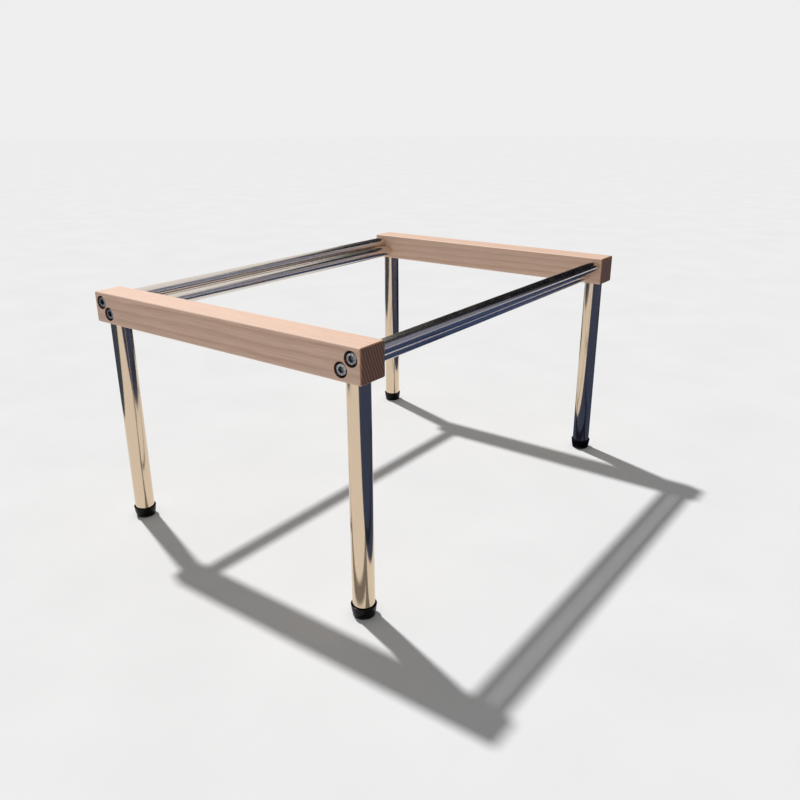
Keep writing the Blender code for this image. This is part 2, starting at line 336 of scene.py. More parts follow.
def copies(master, places, finish):
    """Copy a master to each place, given as piece name, CAD node and matrix, and remove the master."""
    keep_lay(master)
    finish_with(master, finish)
    for number, (name, node, matrix) in enumerate(places):
        piece = bpy.data.objects.new(name, master.data.copy())
        piece.data.name = name
        bpy.context.scene.collection.objects.link(piece)
        piece.data.transform(matrix)
        for place in piece.data.attributes["lay"].data:
            place.vector.z += number * COPY_SHIFT
        stand_in(piece, node)
    bpy.data.objects.remove(master, do_unlink=True)


def outward(point, end):
    """Place for a piece whose own +Z points out of the front or the rear beam."""
    return Matrix.Translation(point) @ Matrix.Rotation(-end * math.pi / 2, 4, "X")


def upright(point):
    """Place for a piece whose own +Z points up."""
    return Matrix.Translation(point)


def middle_of(node):
    """Middle of a CAD node's box."""
    low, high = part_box(node)
    return (low + high) / 2


def foot_of(node):
    """Point on the axis of an upright CAD node, at its lowest height."""
    low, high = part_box(node)
    return Vector(((low.x + high.x) / 2, (low.y + high.y) / 2, low.z))


def outer_point(node, end):
    """Point on the axis of a CAD node that lies along Y, at its outermost end."""
    low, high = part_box(node)
    return Vector(((low.x + high.x) / 2, low.y if end < 0 else high.y, (low.z + high.z) / 2))


def plane_at(bearing, distance):
    """Upright plane, at a bearing in degrees from +X round to +Y and at a distance from the table's middle.

    It is called with two lengths and gives the point so far to the left on it, and so far up.
    """
    away = Vector((math.cos(math.radians(bearing)), math.sin(math.radians(bearing)), 0))
    left = Vector((-away.y, away.x, 0))
    return lambda across, up: away * distance + left * across + Vector((0, 0, up))


def end_of(name):
    """The end that a node belongs to: -1 for the front, 1 for the rear."""
    return ENDS["front" if "front" in name else "rear"]


def at_corners(kind):
    """Piece name, CAD node and place of an upright piece at each corner."""
    return [
        (f"{corner}_{kind}", f"{kind}_{corner}", upright(foot_of(f"{kind}_{corner}"))) for corner in CORNERS
    ]


def at_screws(kind, node_kind):
    """Piece name, CAD node and place of a piece on the axis of each rail screw."""
    nodes = [f"{node_kind}_{corner}_{level}" for corner in CORNERS for level in LEVELS]
    return [
        (node.replace(node_kind, kind), node, outward(outer_point(node, end_of(node)), end_of(node)))
        for node in nodes
    ]


def thread_core(settings):
    """Radius at the bottom of a thread's grooves."""
    return settings.shank / 2 - THREAD_DEPTH * settings.pitch


def add_node(tree, kind, inputs=None, stops=None, **settings):
    """Add a shader node with its settings. An input is a value, or another node's output.

    The stops of a colour ramp are pairs of place and linear colour, in the order of their places.
    """
    node = tree.nodes.new(kind)
    for name, value in settings.items():
        setattr(node, name, value)
    for name, value in (inputs or {}).items():
        if isinstance(value, bpy.types.NodeSocket):
            tree.links.new(value, node.inputs[name])
        else:
            node.inputs[name].default_value = value
    if stops:
        marks = node.color_ramp.elements
        while len(marks) < len(stops):
            marks.new(1)
        for mark, (place, colour) in zip(marks, stops):
            mark.position, mark.color = place, rgba(colour)
    return node


def new_material(name):
    """Empty material with a Principled shader, and its tree and shader."""
    made = bpy.data.materials.new(name)
    made.use_nodes = True
    return made, made.node_tree, made.node_tree.nodes["Principled BSDF"]


def planed_softwood(settings):
    """Planed and oiled larch.

    Straight, even rings: pale early wood that darkens slowly to a thin late line, then starts again. The
    sides show them as long, faint bands with fine fibres over them. The cut ends soak up the oil, so they
    are dark brown, with every ring clear, and their brown is made darker still by painted shade.
    """
    made, tree, shader = new_material("planed_softwood")
    coordinates = add_node(tree, "ShaderNodeTexCoord")
    place, normal = coordinates.outputs["Object"], coordinates.outputs["Normal"]

    # Rings: a distance across them, in metres, that wanders by a few millimetres over 30 cm of the beam
    across = (0, math.cos(settings.ring_slant), math.sin(settings.ring_slant))
    distance = add_node(tree, "ShaderNodeVectorMath", {0: place, 1: across}, operation="DOT_PRODUCT")
    long_place = add_node(tree, "ShaderNodeMapping", {"Vector": place, "Scale": (3.5, 22, 22)})
    drift = add_node(tree, "ShaderNodeTexNoise", {"Vector": long_place.outputs[0], "Scale": 1, "Detail": 3})
    wandered = add_node(
        tree, "ShaderNodeMath", {0: drift.outputs[0], 1: 7 * MM, 2: distance.outputs["Value"]},
        operation="MULTIPLY_ADD",
    )
    years = add_node(
        tree, "ShaderNodeMath", {0: wandered.outputs[0], 1: settings.ring_spacing}, operation="DIVIDE"
    )
    ring = add_node(tree, "ShaderNodeMath", {0: years.outputs[0]}, operation="FRACT")
    late = add_node(
        tree, "ShaderNodeValToRGB", {"Fac": ring.outputs[0]},
        stops=[(0, grey(0.05)), (0.45, grey(0.12)), (0.8, grey(0.85)), (0.96, grey(1)), (1, grey(0.05))],
    )

    # Fibres about 1 mm across and 40 mm long, coarser than real ones so that they show, and a change of
    # tone over 4 mm across and 120 mm along
    fibre_place = add_node(tree, "ShaderNodeMapping", {"Vector": place, "Scale": (24, 900, 900)})
    fibre = add_node(
        tree, "ShaderNodeTexNoise",
        {"Vector": fibre_place.outputs[0], "Scale": 1, "Detail": 5, "Roughness": 0.65, "Distortion": 0.3},
    )
    tone_place = add_node(tree, "ShaderNodeMapping", {"Vector": place, "Scale": (8, 240, 240)})
    tone = add_node(tree, "ShaderNodeTexNoise", {"Vector": tone_place.outputs[0], "Scale": 1, "Detail": 3})

    # On the sides the rings show as bands, stronger in some places than in others
    patchy = add_node(tree, "ShaderNodeMapRange", {0: tone.outputs[0], **NOISE_RANGE, 3: 0.15, 4: 0.85})
    band = add_node(
        tree, "ShaderNodeMath", {0: late.outputs[0], 1: patchy.outputs[0]}, operation="MULTIPLY"
    )
    side = add_node(
        tree, "ShaderNodeMix",
        {"Factor": band.outputs[0], "A": rgba(settings.early), "B": rgba(settings.late)}, data_type="RGBA",
    )
    # Cut ends: end grain, darker from the oil and from painted shade
    end = add_node(
        tree, "ShaderNodeMix",
        {"Factor": late.outputs[0], "A": rgba(settings.end_early), "B": rgba(settings.end_late)},
        data_type="RGBA",
    )

    # From the sides over the rounded edges, in the rim's painted highlight, to the cut ends, by how far a
    # face looks along the beam
    split = add_node(tree, "ShaderNodeSeparateXYZ", {0: normal})
    facing = add_node(tree, "ShaderNodeMath", {0: split.outputs[0]}, operation="ABSOLUTE")
    wood = side
    for colour, start, full in ((rgba(settings.end_rim), 0.2, 0.5), (end.outputs["Result"], 0.75, 0.99)):
        share = add_node(
            tree, "ShaderNodeMapRange", {0: facing.outputs[0], 1: start, 2: full},
            interpolation_type="SMOOTHSTEP",
        )
        wood = add_node(
            tree, "ShaderNodeMix", {"Factor": share.outputs[0], "A": wood.outputs["Result"], "B": colour},
            data_type="RGBA",
        )

    # Fibres and tone over all of it
    light = add_node(tree, "ShaderNodeMapRange", {0: fibre.outputs[0], **NOISE_RANGE, 3: 0.86, 4: 1.1})
    shade = add_node(tree, "ShaderNodeMapRange", {0: tone.outputs[0], **NOISE_RANGE, 3: 0.95, 4: 1.04})
    both = add_node(
        tree, "ShaderNodeMath", {0: light.outputs[0], 1: shade.outputs[0]}, operation="MULTIPLY"
    )
    final = add_node(
        tree, "ShaderNodeHueSaturation", {"Color": wood.outputs["Result"], "Value": both.outputs[0]}
    )
    tree.links.new(final.outputs[0], shader.inputs["Base Color"])

    # The hard late wood is smoother than the early wood, and stands a little proud of it
    rough = add_node(tree, "ShaderNodeMapRange", {0: late.outputs[0], 3: 0.6, 4: 0.48})
    tree.links.new(rough.outputs[0], shader.inputs["Roughness"])
    relief = add_node(
        tree, "ShaderNodeMath", {0: late.outputs[0], 1: 0.6, 2: fibre.outputs[0]}, operation="MULTIPLY_ADD"
    )
    bump = add_node(
        tree, "ShaderNodeBump", {"Strength": 0.5, "Distance": 0.06 * MM, "Height": relief.outputs[0]}
    )
    tree.links.new(bump.outputs[0], shader.inputs["Normal"])
    return made


def bore_wood_painted_shade(settings):
    """Walls of the holes in the beams, left as the drill cut them.

    Torn fibres, just under 1 mm across, hold more oil than a planed face, and painted shade darkens the
    walls further, so they are nearly as dark as the cut ends.
    """
    made, tree, shader = new_material("bore_wood_painted_shade")
    place = add_node(tree, "ShaderNodeTexCoord").outputs["Object"]
    torn = add_node(tree, "ShaderNodeTexNoise", {"Vector": place, "Scale": 1300, "Detail": 4})
    # Painted shade of the holes: the walls take the dark colours of the cut ends
    colour = add_node(
        tree, "ShaderNodeMix",
        {"Factor": torn.outputs[0], "A": rgba(settings.end_early), "B": rgba(settings.end_late)},
        data_type="RGBA",
    )
    tree.links.new(colour.outputs["Result"], shader.inputs["Base Color"])
    shader.inputs["Roughness"].default_value = 0.8
    bump = add_node(
        tree, "ShaderNodeBump", {"Strength": 0.6, "Distance": 0.1 * MM, "Height": torn.outputs[0]}
    )
    tree.links.new(bump.outputs[0], shader.inputs["Normal"])
    return made


def polished_stainless(name, colour, blur):
    """Drawn stainless tube, belt polished along its length.

    Nearly a mirror, a little warm, and the legs warmer still with a painted reflection of a warm floor.
    Faint streaks along the tube and clouds of 17 mm blur what it reflects, more in some places than in
    others. The streaks are about 0.6 mm across and 70 mm long, coarser than a belt's grit leaves them, so
    that they show.
    """
    made, tree, shader = new_material(name)
    lay = add_node(tree, "ShaderNodeAttribute", attribute_name="lay")
    streak_place = add_node(
        tree, "ShaderNodeMapping", {"Vector": lay.outputs["Vector"], "Scale": (1600, 1600, 14)}
    )
    streak = add_node(
        tree, "ShaderNodeTexNoise", {"Vector": streak_place.outputs[0], "Scale": 1, "Detail": 3}
    )
    cloud = add_node(
        tree, "ShaderNodeTexNoise", {"Vector": lay.outputs["Vector"], "Scale": 60, "Detail": 3}
    )
    mixed = add_node(
        tree, "ShaderNodeMath", {0: cloud.outputs[0], 1: 0.5, 2: streak.outputs[0]},
        operation="MULTIPLY_ADD",
    )
    rough = add_node(
        tree, "ShaderNodeMapRange", {0: mixed.outputs[0], **POLISH_RANGE, 3: 0.7 * blur, 4: 1.3 * blur}
    )
    tree.links.new(rough.outputs[0], shader.inputs["Roughness"])
    value = add_node(tree, "ShaderNodeMapRange", {0: mixed.outputs[0], **POLISH_RANGE, 3: 1.01, 4: 0.98})
    tint = add_node(tree, "ShaderNodeHueSaturation", {"Color": rgba(colour), "Value": value.outputs[0]})
    tree.links.new(tint.outputs[0], shader.inputs["Base Color"])
    shader.inputs["Metallic"].default_value = 1
    bump = add_node(
        tree, "ShaderNodeBump", {"Strength": 0.1, "Distance": 0.002 * MM, "Height": streak.outputs[0]}
    )
    tree.links.new(bump.outputs[0], shader.inputs["Normal"])
    return made


def turned_plated_steel(settings):
    """Turned and zinc plated steel of the screws, washers and studs.

    Fine rings round the axis show on the flat faces, about 0.3 mm apart, a little coarser than a lathe's
    so that they show. The plating dulls them to a soft grey with clouds of 2 mm. Painted shade darkens the
    hexagonal sockets and the knurls, as shade in the recesses and in the counterbores.
    """
    made, tree, shader = new_material("turned_plated_steel")
    lay = add_node(tree, "ShaderNodeAttribute", attribute_name="lay")
    flat = add_node(
        tree, "ShaderNodeVectorMath", {0: lay.outputs["Vector"], 1: (1, 1, 0)}, operation="MULTIPLY"
    )
    radius = add_node(tree, "ShaderNodeVectorMath", {0: flat.outputs[0]}, operation="LENGTH")
    groove_place = add_node(
        tree, "ShaderNodeMath", {0: radius.outputs["Value"], 1: 3500}, operation="MULTIPLY"
    )
    groove = add_node(
        tree, "ShaderNodeTexNoise", {"W": groove_place.outputs[0], "Scale": 1, "Detail": 2},
        noise_dimensions="1D",
    )
    cloud = add_node(
        tree, "ShaderNodeTexNoise", {"Vector": lay.outputs["Vector"], "Scale": 420, "Detail": 4}
    )
    rough = add_node(tree, "ShaderNodeMapRange", {0: cloud.outputs[0], **NOISE_RANGE, 3: 0.15, 4: 0.3})
    tree.links.new(rough.outputs[0], shader.inputs["Roughness"])
    value = add_node(tree, "ShaderNodeMapRange", {0: groove.outputs[0], **NOISE_RANGE, 3: 0.9, 4: 1.04})
    # Painted shade, by the distance from the axis in millimetres: up to 3.5 in the hexagonal socket, from
    # 5.6 on the knurls, where the counterbore shades the head
    for inner, outer, from_value, to_value in ((3.5, 3.75, 0.4, 1), (5.5, 5.6, 1, 0.3)):
        painted_shade = add_node(
            tree, "ShaderNodeMapRange",
            {0: radius.outputs["Value"], 1: inner * MM, 2: outer * MM, 3: from_value, 4: to_value},
        )
        value = add_node(
            tree, "ShaderNodeMath", {0: value.outputs[0], 1: painted_shade.outputs[0]}, operation="MULTIPLY"
        )
    tint = add_node(
        tree, "ShaderNodeHueSaturation", {"Color": rgba(settings.plated), "Value": value.outputs[0]}
    )
    tree.links.new(tint.outputs[0], shader.inputs["Base Color"])
    shader.inputs["Metallic"].default_value = 1
    bump = add_node(
        tree, "ShaderNodeBump", {"Strength": 0.3, "Distance": 0.01 * MM, "Height": groove.outputs[0]}
    )
    tree.links.new(bump.outputs[0], shader.inputs["Normal"])
    return made


def barrel_plated_steel(settings):
    """Barrel plated steel of the plugs, nuts and sockets that stay inside the tubes and beams.

    Dull grey, mottled at about 2 mm where the parts tumbled against each other.
    """
    made, tree, shader = new_material("barrel_plated_steel")
    place = add_node(tree, "ShaderNodeTexCoord").outputs["Object"]
    mottle = add_node(tree, "ShaderNodeTexNoise", {"Vector": place, "Scale": 480, "Detail": 4})
    value = add_node(tree, "ShaderNodeMapRange", {0: mottle.outputs[0], **NOISE_RANGE, 3: 0.82, 4: 1.05})
    tint = add_node(
        tree, "ShaderNodeHueSaturation", {"Color": rgba(settings.plated), "Value": value.outputs[0]}
    )
    tree.links.new(tint.outputs[0], shader.inputs["Base Color"])
    rough = add_node(tree, "ShaderNodeMapRange", {0: mottle.outputs[0], **NOISE_RANGE, 3: 0.3, 4: 0.48})
    tree.links.new(rough.outputs[0], shader.inputs["Roughness"])
    shader.inputs["Metallic"].default_value = 1
    return made


def moulded_rubber(settings):
    """Black rubber moulded in a spark-eroded tool.

    Softly glossy, with smears of 6 mm and a fine texture of 0.4 mm, coarser than the tool's so that it
    shows, and greyed by dust in the lowest 3 mm.
    """
    made, tree, shader = new_material("moulded_rubber")
    place = add_node(tree, "ShaderNodeTexCoord").outputs["Object"]
    skin = add_node(tree, "ShaderNodeTexNoise", {"Vector": place, "Scale": 2500, "Detail": 2})
    smear = add_node(tree, "ShaderNodeTexNoise", {"Vector": place, "Scale": 160, "Detail": 5})
    height = add_node(tree, "ShaderNodeSeparateXYZ", {0: place})
    low = add_node(tree, "ShaderNodeMapRange", {0: height.outputs[2], 1: 3 * MM, 2: 0.2 * MM, 3: 0, 4: 1})
    dust = add_node(tree, "ShaderNodeMapRange", {0: smear.outputs[0], 1: 0.4, 2: 0.7, 3: 0.02, 4: 0.35})
    dusty = add_node(
        tree, "ShaderNodeMath", {0: low.outputs[0], 1: dust.outputs[0]}, operation="MULTIPLY"
    )
    colour = add_node(
        tree, "ShaderNodeMix",
        {"Factor": dusty.outputs[0], "A": rgba(settings.colour), "B": rgba(linear("8C877F"))},
        data_type="RGBA",
    )
    tree.links.new(colour.outputs["Result"], shader.inputs["Base Color"])
    rough = add_node(tree, "ShaderNodeMapRange", {0: smear.outputs[0], **NOISE_RANGE, 3: 0.24, 4: 0.33})
    tree.links.new(rough.outputs[0], shader.inputs["Roughness"])
    shader.inputs["Specular IOR Level"].default_value = 0.12
    bump = add_node(
        tree, "ShaderNodeBump", {"Strength": 0.2, "Distance": 0.015 * MM, "Height": skin.outputs[0]}
    )
    tree.links.new(bump.outputs[0], shader.inputs["Normal"])
    return made


def rolled_paint(settings):
    """Matt emulsion paint, rolled on the studio floor.

    It has no shine at all, so the shadows lie on it evenly, and clouds of about 140 mm that hardly show.
    """
    made, tree, shader = new_material("rolled_paint")
    place = add_node(tree, "ShaderNodeTexCoord").outputs["Object"]
    mottle = add_node(tree, "ShaderNodeTexNoise", {"Vector": place, "Scale": 7, "Detail": 6})
    value = add_node(tree, "ShaderNodeMapRange", {0: mottle.outputs[0], **NOISE_RANGE, 3: 0.98, 4: 1.02})
    tint = add_node(
        tree, "ShaderNodeHueSaturation", {"Color": rgba(settings.floor), "Value": value.outputs[0]}
    )
    tree.links.new(tint.outputs[0], shader.inputs["Base Color"])
    shader.inputs["Roughness"].default_value = 1
    shader.inputs["Specular IOR Level"].default_value = 0
    return made


def dyed_paper(name, code):
    """Matt, even paper of a studio card, coloured as painted shade, so that a tube shows it as one plain
    band.
    """
    made, _, shader = new_material(name)
    shader.inputs["Base Color"].default_value = rgba(linear(code))
    shader.inputs["Roughness"].default_value = 1
    shader.inputs["Specular IOR Level"].default_value = 0
    return made


def material(maker, settings):
    """The material that a function makes, made once."""
    return bpy.data.materials.get(maker.__name__) or maker(settings)


def counterbore_cutter(beam, corner, level, settings):
    """Cutter for one screw's hole through a beam, with a counterbore whose rim is just broken."""
    end = end_of(corner)
    washer = f"screw_washer_{corner}_{level}"
    low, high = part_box(washer)
    mouth = outer_point(f"rail_screw_{corner}_{level}", end)
    mouth.y = outer_point(beam, end).y
    radius, hole = (high.x - low.x) / 2 + GAP, settings.shank / 2 + GAP
    floor = -abs(mouth.y - outer_point(washer, -end).y) - GAP
    rim, through = 0.3 * MM, -60 * MM
    cutter = turned(
        "counterbore",
        [
            (0, rim), (radius + 2 * rim, rim), (radius, -rim), (radius, floor),
            (hole, floor), (hole, through), (0, through),
        ],
    )
    cutter.data.transform(outward(mouth, end))
    return cutter


def socket_cutter(corner):
    """Cutter for the blind bore that takes a leg's socket, open at the beam's underside."""
    socket = f"leg_socket_{corner}"
    low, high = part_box(socket)
    radius, depth, below = (high.x - low.x) / 2 + GAP, high.z - low.z + GAP, -2 * MM
    cutter = turned("socket_bore", [(0, depth), (radius, depth), (radius, below), (0, below)], SMALL_ROUND)
    cutter.data.transform(upright(foot_of(socket)))
    return cutter


class ModelBeams(bpy.types.Operator):
    """Model both wooden beams: a block with rounded edges, screw holes and leg socket bores"""

    bl_idname = "camping_table.model_beams"
    bl_label = "Model beams"

    def execute(self, context):
        settings = context.scene.camping_table
        wood = material(planed_softwood, settings.timber)
        bore_shade = material(bore_wood_painted_shade, settings.timber)
        for end_name, end in ENDS.items():
            node = f"beam_{end_name}"
            low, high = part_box(node)
            select_only()
            bpy.ops.mesh.primitive_cube_add(size=1, location=middle_of(node), scale=high - low)
            beam = context.object
            beam.name = beam.data.name = f"{end_name}_beam_timber"
            bpy.ops.object.transform_apply(location=True, rotation=True, scale=True)
            bpy.ops.object.mode_set(mode="EDIT")
            bpy.ops.mesh.select_all(action="SELECT")
            bpy.ops.mesh.bevel(offset=settings.timber.rounding, segments=5, affect="EDGES")
            bpy.ops.object.mode_set(mode="OBJECT")
            finish_with(beam, wood)
            for corner in (name for name in CORNERS if end_of(name) == end):
                cutters = [socket_cutter(corner)] + [
                    counterbore_cutter(node, corner, level, settings.screws) for level in LEVELS
                ]
                for cutter in cutters:
                    finish_with(cutter, bore_shade)
                    cut(beam, cutter)
            smooth(beam)
            stand_in(beam, node)
        return {"FINISHED"}


def plate_solids(settings, *kinds):
    """Give the CAD nodes of some kinds their dull plating. They stay in the model as they are."""
    dull = material(barrel_plated_steel, settings)
    for node, solid in frame["nodes"].items():
        if node.startswith(kinds):
            finish_with(solid, dull)


class ModelRails(bpy.types.Operator):
    """Model the four rail tubes, with softly broken ends"""

    bl_idname = "camping_table.model_rails"
    bl_label = "Model rails"

    def execute(self, context):
        settings = context.scene.camping_table.steel
        steel = polished_stainless("polished_stainless_rails", settings.rails, RAIL_BLUR)
        low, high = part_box("rail_left_upper")
        outer, half = (high.x - low.x) / 2, (high.y - low.y) / 2
        profile = tube_profile(outer, outer - settings.rail_wall, half, -half, edge=0.3 * MM)
        rail = turned("rail", profile, ring=True)
        smooth(rail)
        nodes = [f"rail_{side}_{level}" for side in ("left", "right") for level in LEVELS]
        places = [(f"{node}_tube", node, outward(middle_of(node), ENDS["front"])) for node in nodes]
        copies(rail, places, steel)
        plate_solids(settings, "rail_plug_")
        return {"FINISHED"}


class ModelScrews(bpy.types.Operator):
    """Model the eight socket cap screws and their washers"""

    bl_idname = "camping_table.model_screws"
    bl_label = "Model screws and washers"

    def execute(self, context):
        settings = context.scene.camping_table.screws
        plated = material(turned_plated_steel, context.scene.camping_table.steel)
        low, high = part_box("rail_screw_front_left_upper")
        head, tip = (high.x - low.x) / 2, low.y - high.y
        chamfer, seat, shank = settings.chamfer, -settings.head_height, settings.shank / 2
        collar, edge = 0.4 * MM, 0.3 * MM
        screw = turned(
            "cap_screw",
            [
                (0, 0), (head - chamfer, 0), (head, -chamfer), (head, -chamfer - collar),
                (head, seat + collar + edge), (head, seat + edge), (head - edge, seat),
                (shank, seat), (shank, tip + chamfer), (shank - chamfer, tip), (0, tip),
            ],
            2 * KNURLS,
        )
        # Straight knurls: below the collar, every second column of the head's side is drawn in
        column = math.pi / KNURLS
        pick(screw, "VERT", lambda at: (
            at.z < -chamfer - collar / 2 and at.xy.length > head - edge / 2
            and round(math.atan2(at.y, at.x) / column) % 2
        ))
        bpy.ops.transform.resize(value=(KNURL_SHARE, KNURL_SHARE, 1), center_override=(0, 0, 0))
        bpy.ops.object.mode_set(mode="OBJECT")
        # Hexagonal socket with a drill's cone at its bottom and a broken edge round its mouth
        key, depth = settings.key_width / math.sqrt(3), -settings.key_depth
        cut(screw, turned("hex_key", [(0, MM), (key, MM), (key, depth), (0, depth - key / 3)], 6))
        pick(screw, "EDGE", lambda at: abs(at.z) < 0.01 * MM and at.xy.length < key + 0.05 * MM)
        bpy.ops.mesh.bevel(offset=0.25 * MM, segments=2, affect="EDGES")
        bpy.ops.object.mode_set(mode="OBJECT")
        smooth(screw)
        copies(screw, at_screws("cap_screw", "rail_screw"), plated)

        low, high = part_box("screw_washer_front_left_upper")
        profile = tube_profile((high.x - low.x) / 2, shank + GAP, 0, low.y - high.y, edge=0.2 * MM)
        washer = turned("washer", profile, ring=True)
        smooth(washer)
        copies(washer, at_screws("flat_washer", "screw_washer"), plated)
        return {"FINISHED"}


def threaded_bar(name, profile, top, bottom, settings):
    """Turned bar with a cut thread wound on it between two heights."""
    bar = turned(name, profile, SMALL_ROUND)
    crest, pitch = settings.shank / 2, settings.pitch
    sunk = thread_core(settings) - 0.1 * MM
    # One turn less than would fit, so that the thread runs out below the top
    turns = int((top - bottom) / pitch) - 1
    select_only()
    bpy.ops.mesh.primitive_plane_add(size=MM, location=(0, 0, 0))
    thread = bpy.context.object
    # Outline of one turn, as radius and share of the pitch: a wide foot, sunk into the bar, and a narrow
    # crest. The plane's points go round it in the order 0, 1, 3, 2.
    outline = [(sunk, 0.05), (crest, 0.43), (crest, 0.57), (sunk, 0.95)]
    for number, (radius, share) in zip((0, 1, 3, 2), outline):
        thread.data.vertices[number].co = (radius, 0, bottom + share * pitch)
    bpy.ops.object.mode_set(mode="EDIT")
    bpy.ops.mesh.select_all(action="SELECT")
    bpy.ops.mesh.delete(type="ONLY_FACE")
    bpy.ops.object.mode_set(mode="OBJECT")
    apply_modifier(
        thread, "SCREW", screw_offset=pitch, iterations=turns, steps=THREAD_ROUND,
        render_steps=THREAD_ROUND, use_merge_vertices=False,
    )
    bpy.ops.object.mode_set(mode="EDIT")
    bpy.ops.mesh.select_all(action="SELECT")
    bpy.ops.mesh.fill_holes(sides=4)
    bpy.ops.mesh.select_all(action="SELECT")
    bpy.ops.mesh.normals_make_consistent(inside=False)
    bpy.ops.object.mode_set(mode="OBJECT")
    bar.select_set(True)
    bpy.context.view_layer.objects.active = bar
    bpy.ops.object.join()
    return bar


class ModelLegs(bpy.types.Operator):
    """Model the leg tubes, their plugs and the threaded studs that screw into the beams"""

    bl_idname = "camping_table.model_legs"
    bl_label = "Model legs"

    def execute(self, context):
        settings = context.scene.camping_table
        steel = polished_stainless("polished_stainless_legs", settings.steel.legs, LEG_BLUR)
        plated = material(turned_plated_steel, settings.steel)
        edge, bare = 0.4 * MM, 0.5 * MM

        low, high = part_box("leg_tube_front_left")
        outer, height = (high.x - low.x) / 2, high.z - low.z
        profile = tube_profile(outer, outer - settings.steel.leg_wall, height, 0, edge)
        tube = turned("leg", profile, ring=True)
        smooth(tube)
        copies(tube, at_corners("leg_tube"), steel)

        low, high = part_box("leg_plug_front_left")
        hole = settings.screws.shank / 2 + GAP
        profile = tube_profile((high.x - low.x) / 2, hole, high.z - low.z, 0, edge)
        plug = turned("leg_plug", profile, ring=True)
        smooth(plug)
        copies(plug, at_corners("leg_plug"), plated)

        low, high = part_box("leg_stud_front_left")
        height, core = high.z - low.z, thread_core(settings.screws)
        profile = [(0, height), (core - edge, height), (core, height - edge), (core, 0), (0, 0)]
        stud = threaded_bar("leg_stud", profile, height - bare, 0, settings.screws)
        smooth(stud)
        copies(stud, at_corners("leg_stud"), plated)

        plate_solids(settings.steel, "leg_socket_", "foot_nut_")
        return {"FINISHED"}


class ModelFeet(bpy.types.Operator):
    """Model the rubber cups with their flared lips, and the levelling studs on their discs"""

    bl_idname = "camping_table.model_feet"
    bl_label = "Model feet"

    def execute(self, context):
        settings = context.scene.camping_table
        feet = settings.feet
        rubber = material(moulded_rubber, feet)
        plated = material(turned_plated_steel, settings.steel)

        cup_low, cup_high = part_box("foot_cup_front_left")
        tube_low, tube_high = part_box("leg_tube_front_left")
        stud_low, stud_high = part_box("foot_stud_front_left")
        lip, top = (cup_high.x - cup_low.x) / 2, cup_high.z
        leg = (tube_high.x - tube_low.x) / 2
        floor, bore = tube_low.z - GAP, leg + GAP
        hole, pocket = settings.screws.shank / 2 + GAP, feet.disc / 2 + GAP
        ceiling = stud_low.z + feet.disc_height + GAP
        rounding, bead, wall = feet.base_rounding, feet.skirt / 2, bore + feet.skirt
        inside = [
            # Pocket for the stud's disc, and the hole above it
            (0, feet.sole), (pocket, feet.sole), (pocket, ceiling), (hole, ceiling), (hole, floor),
            # Seat of the leg, and the skirt that opens upwards
            (bore, floor), (bore, floor + 0.5 * MM), (bore + 0.25 * MM, floor + 2.6 * MM),
        ]
        outside = [
            # Flare below the lip, with a waist under it
            (lip - 0.25 * MM, top - 1.8 * MM), (wall + 0.1 * MM, floor + 1 * MM),
            (wall - 0.15 * MM, floor - 1.5 * MM), (leg + 0.15 * MM, 3 * MM),
        ]
        mouth = arc((lip - bead, top - bead), bead, 180, 0, 6)
        base = arc((leg - rounding, rounding), rounding, 0, -90, 5)
        cup = turned("foot_cup", [*inside, *mouth, *outside, *base, (0, 0)])
        smooth(cup)
        copies(cup, at_corners("foot_cup"), rubber)

        height, disc, flange = stud_high.z - stud_low.z, feet.disc / 2, feet.disc_height
        core, point, edge, bare = thread_core(settings.screws), 0.4 * MM, 0.2 * MM, 0.5 * MM
        profile = [
            (0, height), (core - point, height), (core, height - point), (core, flange),
            (disc - edge, flange), (disc, flange - edge), (disc, edge), (disc - edge, 0), (0, 0),
        ]
        stud = threaded_bar("foot_stud", profile, height - bare, flange + edge, settings.screws)
        smooth(stud)
        copies(stud, at_corners("foot_stud"), plated)
        return {"FINISHED"}


def lay_floor(settings):
    """Lay a wide round floor under the table."""
    select_only()
    bpy.ops.mesh.primitive_circle_add(
        vertices=96, radius=FLOOR_RADIUS, fill_type="NGON", location=(0, 0, 0)
    )
    floor = bpy.context.object
    floor.name = floor.data.name = "studio_floor"
    floor.data.materials.append(rolled_paint(settings))


def hang_key_lamp(settings):
    """Hang a sun lamp at the upper left, a little behind, which lights the whole table alike."""
    lamp = bpy.data.lights.new("key_lamp", "SUN")
    lamp.angle = math.radians(KEY_WIDTH)
    lamp.energy = settings.key_power
    key = bpy.data.objects.new("key_lamp", lamp)
    key.location = KEY_DIRECTION * KEY_DISTANCE
    key.rotation_euler = (-KEY_DIRECTION).to_track_quat("-Z", "Y").to_euler()
    bpy.context.scene.collection.objects.link(key)


